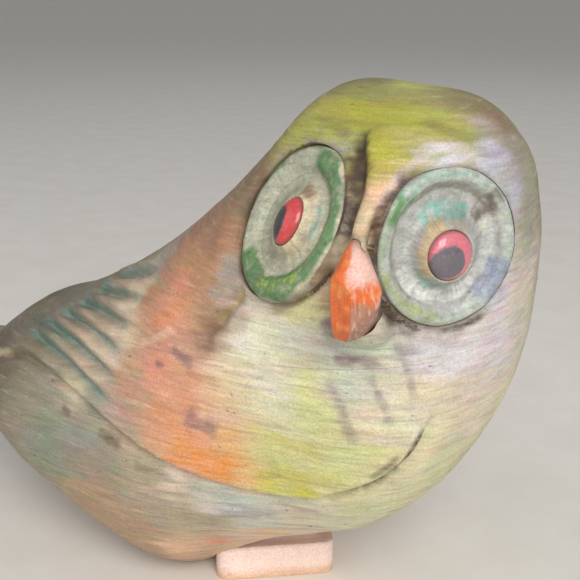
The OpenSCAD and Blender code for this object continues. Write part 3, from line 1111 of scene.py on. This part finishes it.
def eye_bead(eye):
    """Domed bead on a short peg, its iris and pupil painted and varnished."""
    node, slot = eye["side"] + "_eye_bead", eye["side"] + "_bead_paint"
    centre, radii = eye["gaze"]
    cad_bead = node_local(node, eye["place"])
    top = cad_bead[:, 2].max()
    r = from_axis(cad_bead).max()
    base = -1.45 * MM
    rim = COLLAR_RISE - 0.3 * MM
    dome = [(r * math.sin(t), rim + (top - rim) * math.cos(t)) for t in np.linspace(math.pi / 2, 0, 22)]
    peg_r, peg_end, edge = 1.2 * MM, base - 1.35 * MM, 0.3 * MM
    side = [(0, peg_end), (peg_r, peg_end), (peg_r, base), (r - edge, base), (r, base + edge)]
    ob = solid_lathe(node + "_domed", side + dome, 96)
    local = coordinates(ob.data)
    away = np.hypot((local[:, 0] / MM - centre[0]) / radii[0], (local[:, 1] / MM - centre[1]) / radii[1])
    away += 0.08 * rough_noise(local, 1.5 * MM, 90)
    colour = coat_of(eye["iris"], local)
    colour = over(colour, 1 - smoothstep(0.94, 1.06, away), eye["pupil"])
    store(ob.data, "paint", colour)
    # Painted shade round the bead's edge, where it sits in the collar.
    store_antiquing_and_shade(ob.data, 0.5 * smoothstep(4.7, 5.1, polar(local)[0]))
    set_coordinates(ob.data, oval(local, *eye["middle"]))
    ob.data.transform(eye["place"])
    shade(ob, 60)
    finish_piece(ob, node, slot, worn_paint(slot, (1.5, 1.5, 1.5), 0.45, 0.7))


# The two eyes. middle is the oval and the shift in mm of the collar and bead; outline is the rim's width, the
# dish's depth and the edge's roundness; gaze is the pupil's middle and half axes before it is drawn in.
EYES = [
    {"side": "right", "place": RIGHT_EYE, "middle": ((0.61, 0.78), (2.3, -0.3)), "outline": (3.8, 1.3, 1.0),
     "ground": (182, 180, 158), "arcs": RIGHT_ARCS, "seed": 60,
     "iris": (206, 62, 66), "pupil": (52, 52, 54), "gaze": ((-1.7, -1.0), (3.2, 3.7))},
    {"side": "left", "place": LEFT_EYE, "middle": ((0.80, 0.80), (-0.9, -0.7)), "outline": (2.4, 1.6, 0.5),
     "ground": (188, 190, 188), "arcs": LEFT_ARCS, "seed": 80,
     "iris": (220, 118, 134), "pupil": (100, 96, 106), "gaze": ((-1.3, -1.1), (3.8, 3.5))},
]


def shave(co, point, normal):
    """Knife cut: what stands out of a plane is pushed back to it."""
    n = np.array(normal, float) / np.linalg.norm(normal)
    out = np.maximum((co - np.array(point) * MM) @ n, 0)
    return co - out[:, None] * n


BEAK_RED = (232, 112, 48)
BEAK_CUTS = [
    ((35.5, -41.2, 80), (-0.35, -0.93, -0.06)),
    ((38.0, -41.0, 80), (0.88, -0.47, 0.05)),
    ((38.8, -39, 76), (0.86, -0.25, -0.45)),
    ((36, -38, 72.2), (0, -0.1, -1)),
]


def build_beak():
    ob = node_copy("beak", label="beak_carved")
    remesh(ob, 0.24 * MM)
    mesh = ob.data
    smooth(mesh, 6, np.ones(len(mesh.vertices)))
    co = coordinates(mesh)
    co[:, 0] -= 0.25 * np.maximum(co[:, 2] - 80 * MM, 0)
    co[:, 2] -= 1.3 * MM * smoothstep(80 * MM, 74 * MM, co[:, 2])
    for point, normal in BEAK_CUTS:
        co = shave(co, point, normal)
    set_coordinates(mesh, co)
    co = co + (0.1 * MM * rough_noise(co, 2.5 * MM, 71))[:, None] * normals(mesh)
    set_coordinates(mesh, co)
    no = normals(mesh)
    facing = smoothstep(-0.15, 0.15, no[:, 0] + 0.12 * rough_noise(co, 2 * MM, 72))
    height = co[:, 2] / MM + 0.7 * rough_noise(co, 2.5 * MM, 71)
    highlight_lines = noise(co * (1, 1, 0.3) + 0.3 * co[:, [2, 0, 1]], 0.45 * MM, 75)
    colour = coat_of(BEAK_RED, co)
    colour = over(colour, 0.5 * smoothstep(0.1, 0.6, noise(co, 3 * MM, 73)), (196, 84, 36))
    colour = over(colour, 0.5 * smoothstep(0.2, 0.6, noise(co, 1.6 * MM, 74)), (240, 158, 84))
    colour = over(colour, 0.9 * facing * smoothstep(80.5, 82.5, height), (236, 196, 184))
    colour = over(colour, 0.9 * facing * smoothstep(79.5, 77.5, height), (168, 124, 104))
    # Pale lines on the side facet: a painted highlight.
    colour = over(colour, 0.3 * facing * smoothstep(0.1, 0.5, highlight_lines), (238, 216, 206))
    colour = over(colour, 0.8 * smoothstep(85, 88, height), (188, 142, 120))
    store(mesh, "paint", colour)
    # Darker towards the tip, and painted shade at the back where the beak goes into the face.
    tip = smoothstep(75 * MM, 73.2 * MM, co[:, 2])
    back = smoothstep(-37.5 * MM, -35 * MM, co[:, 1])
    store_antiquing_and_shade(mesh, 0.3 * tip + 0.7 * back)
    shade(ob, 35)
    finish_piece(ob, "beak", "beak_paint", worn_paint("beak_paint", (1, 1, 3), 0.55, 0.2))
    return ob


FOOT_PINK = (255, 228, 217)
FOOT_WEAR_AND_SHADE = (224, 176, 128)


def build_foot():
    ob = node_copy("foot_block", label="foot_carved")
    remesh(ob, 0.4 * MM)
    mesh = ob.data
    smooth(mesh, 8, np.ones(len(mesh.vertices)))
    co = coordinates(mesh)
    co = co + (0.12 * MM * rough_noise(co, 5 * MM, 76))[:, None] * normals(mesh)
    co[:, 2] = np.maximum(co[:, 2], 0)
    set_coordinates(mesh, co)
    colour = coat_of(FOOT_PINK, co)
    height = co[:, 2] + 0.8 * MM * noise(co, 5 * MM, 77)
    # Tan along the bottom: partly rubbed paint, partly painted shade near the floor.
    colour = over(colour, 0.7 * (1 - smoothstep(0.5 * MM, 3 * MM, height)), FOOT_WEAR_AND_SHADE)
    colour = over(colour, 0.4 * smoothstep(0.3, 0.8, noise(co, 6 * MM, 78)), (232, 184, 164))
    store(mesh, "paint", colour)
    # Painted shade along the top of the foot, under the belly.
    store_antiquing_and_shade(mesh, 0.4 * smoothstep(7 * MM, 8.2 * MM, co[:, 2]))
    shade(ob, 40)
    finish_piece(ob, "foot_block", "painted_foot", worn_paint("painted_foot", (3, 3, 1), 0.25))
    return ob


def build_blocks(beak, foot):
    """Body and head blocks, cut from one carved form."""
    form = raw_form()
    tree = carve(form)
    for shift in (0, 0.5, 1.5, 3.0):
        boolean(form, grown(beak, 2 * GLUE, (0, -shift * MM, 0)))
    boolean(form, grown(foot, GLUE))
    for place in (RIGHT_EYE, LEFT_EYE):
        boolean(form, socket_cutter(place))
    for name in ("neck_dowel_front", "neck_dowel_rear", "foot_dowel_front", "foot_dowel_rear"):
        boolean(form, bore(name))
    head = new_object("head_carved", form.data.copy())
    form.name = form.data.name = "body_carved"
    boolean(head, half_space(True), "INTERSECT")
    boolean(form, half_space(False), "INTERSECT")
    for ob, node, slot in ((form, "body_block", "painted_body"), (head, "head_block", "painted_head")):
        keep_largest(ob.data)
        paint_form(ob, tree)
        shade(ob)
        finish_piece(ob, node, slot, worn_paint(slot))


def dress_dowels():
    """Bare wood on the CAD's own dowels."""
    wood = bare_wood("dowel_wood")
    for name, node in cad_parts.items():
        if "dowel" in name:
            node.data.materials.clear()
            node.data.materials.append(wood)


# ---- Stage


def aim(ob, place, target):
    ob.location = place
    ob.rotation_euler = (Vector(target) - Vector(place)).to_track_quat("-Z", "Y").to_euler()


CAMERA_AT = (0.0930, -0.1660, 0.1255)
CAMERA_TO = (0.0037, 0.0020, 0.0637)
CAMERA_LENS = 59.0


def add_camera():
    camera = bpy.data.objects.new("camera", bpy.data.cameras.new("camera"))
    bpy.context.scene.collection.objects.link(camera)
    camera.data.sensor_width = 36
    camera.data.lens = CAMERA_LENS
    camera.data.clip_start = 0.01
    aim(camera, CAMERA_AT, CAMERA_TO)
    bpy.context.scene.camera = camera


def add_light(name, azimuth, elevation, distance, size, power, colour):
    """Soft box at an azimuth from -Y towards +X and a height above the horizon, in degrees."""
    light = bpy.data.lights.new(name, "AREA")
    light.shape = "SQUARE"
    light.size = size
    light.energy = power
    light.color = colour
    ob = bpy.data.objects.new(name, light)
    bpy.context.scene.collection.objects.link(ob)
    a, e = math.radians(azimuth), math.radians(elevation)
    way = Vector((math.sin(a) * math.cos(e), -math.cos(a) * math.cos(e), math.sin(e)))
    centre = Vector((0, 0, 0.05))
    aim(ob, centre + way * distance, centre)
    ob.visible_camera = False


# Soft boxes: name, azimuth, elevation, distance, size, power and colour
LIGHTS = [
    ("key", 42, 36, 0.9, 0.45, 6.2, (1, 0.98, 0.94)),
    ("fill", -45, 30, 1.1, 0.9, 2.4, (0.97, 0.98, 1)),
    ("back", 180, 50, 1.1, 0.8, 0.9, (1, 1, 1)),
]
SKY_GREY = (0.88, 0.88, 0.88, 1)
SKY_STRENGTH = 0.36


def add_stage():
    """Pale floor, even grey surroundings and soft light."""
    bm = bmesh.new()
    bmesh.ops.create_circle(bm, cap_ends=True, segments=96, radius=16)
    floor = from_bmesh("floor", bm)
    g = Graph("pale_floor")
    tone = g.mix(g.between(g.noise(60, 3), 0.3, 0.7), (226, 222, 216), (232, 229, 224))
    floor.data.materials.append(g.finish(tone, 0.7, g.bump(g.noise(500, 2), 0.1 * MM, 0.3)))
    world = bpy.data.worlds.new("studio")
    world.use_nodes = True
    sky = world.node_tree.nodes["Background"]
    sky.inputs["Color"].default_value = SKY_GREY
    sky.inputs["Strength"].default_value = SKY_STRENGTH
    bpy.context.scene.world = world
    bpy.context.scene.view_settings.view_transform = "Standard"
    for light in LIGHTS:
        add_light(*light)


add_camera()
add_stage()
for each in EYES:
    eye_disc(each)
for each in EYES:
    eye_bead(each)
build_blocks(build_beak(), build_foot())
dress_dowels()
